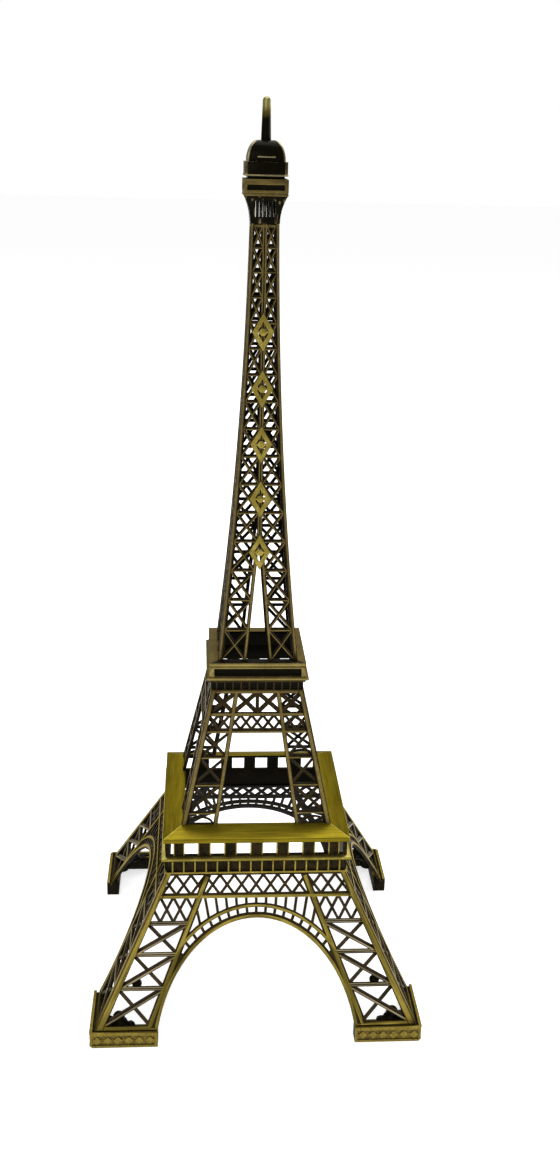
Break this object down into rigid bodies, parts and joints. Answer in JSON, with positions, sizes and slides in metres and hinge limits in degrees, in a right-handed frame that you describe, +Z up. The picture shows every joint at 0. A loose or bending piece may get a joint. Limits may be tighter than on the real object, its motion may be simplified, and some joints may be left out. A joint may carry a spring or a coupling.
{
  "type": "tower model",
  "caption": "Table ornament: an open lattice tower on four arched legs, with two square galleries, a tapering lattice spire and a small domed cabin.",
  "frame": {"origin": "on the table under the antenna, in the middle of the four feet", "axes": "+Z up along the antenna, the ornamented front towards -Y, +X to the right"},
  "size_m": [0.12, 0.12, 0.321],
  "materials": {
    "worn_brass": "antique brass plating with dark stain rubbed off the high spots",
    "antique_bronze": "dark brown antique plating, brushed bright on the proud beads",
    "brushed_brass": "satin brushed olive brass",
    "bright_brass": "polished raised brass",
    "dark_bronze": "black-brown antique plating",
    "solder": "dark stained rough solder"
  },
  "bodies": {
    "root": {"foot_front_left": "worn_brass", "foot_front_right": "worn_brass", "foot_back_left": "worn_brass", "foot_back_right": "worn_brass", "leg_panel_front": "antique_bronze", "leg_panel_right": "antique_bronze", "leg_panel_back": "antique_bronze", "leg_panel_left": "antique_bronze", "gallery_wall_front": "antique_bronze", "gallery_wall_right": "antique_bronze", "gallery_wall_back": "antique_bronze", "gallery_wall_left": "antique_bronze", "first_deck": "brushed_brass", "mid_panel_front": "antique_bronze", "mid_panel_right": "antique_bronze", "mid_panel_back": "antique_bronze", "mid_panel_left": "antique_bronze", "second_frieze": "dark_bronze", "second_gallery": "brushed_brass", "spire_panel_front": "antique_bronze", "spire_panel_right": "antique_bronze", "spire_panel_back": "antique_bronze", "spire_panel_left": "antique_bronze", "lozenge_1": "bright_brass", "lozenge_2": "bright_brass", "lozenge_3": "bright_brass", "lozenge_4": "bright_brass", "lozenge_5": "bright_brass", "neck": "dark_bronze", "top_gallery": "brushed_brass", "cabin": "dark_bronze", "cupola": "dark_bronze", "antenna": "dark_bronze", "solder_fillets": "solder"}
  },
  "joints": []
}
